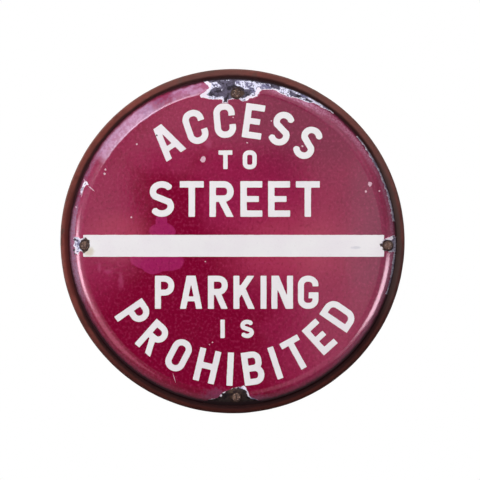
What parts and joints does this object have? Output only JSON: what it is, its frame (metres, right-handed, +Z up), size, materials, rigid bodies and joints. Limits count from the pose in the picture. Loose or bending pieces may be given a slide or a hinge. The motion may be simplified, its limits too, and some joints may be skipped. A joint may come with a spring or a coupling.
{
  "type": "round enamelled wall sign",
  "caption": "Round enamelled steel wall sign with a turned-down rim and a white band, on a turned wooden backing board held by slotted wall screws.",
  "frame": {"origin": "centre of the board's flat back face, which lies against the wall", "axes": "-Y is the way the sign faces, +Y points into the wall, +Z is up and +X is to the right as the sign is read"},
  "size_m": [0.314, 0.0523, 0.314],
  "materials": {
    "crimson_enamel": "glossy vitreous enamel on steel, chipped and rusted at the rim and the screws",
    "white_enamel": "glossy white fired coat",
    "stained_board": "satin reddish-brown paint on wood, darkened in places",
    "rusty_screw": "brown rust, rough"
  },
  "bodies": {
    "root": {"enamel_plate": "crimson_enamel", "white_band": "white_enamel", "backing_board": "stained_board", "screw_top": "rusty_screw", "screw_right": "rusty_screw", "screw_bottom": "rusty_screw", "screw_left": "rusty_screw"}
  },
  "joints": []
}
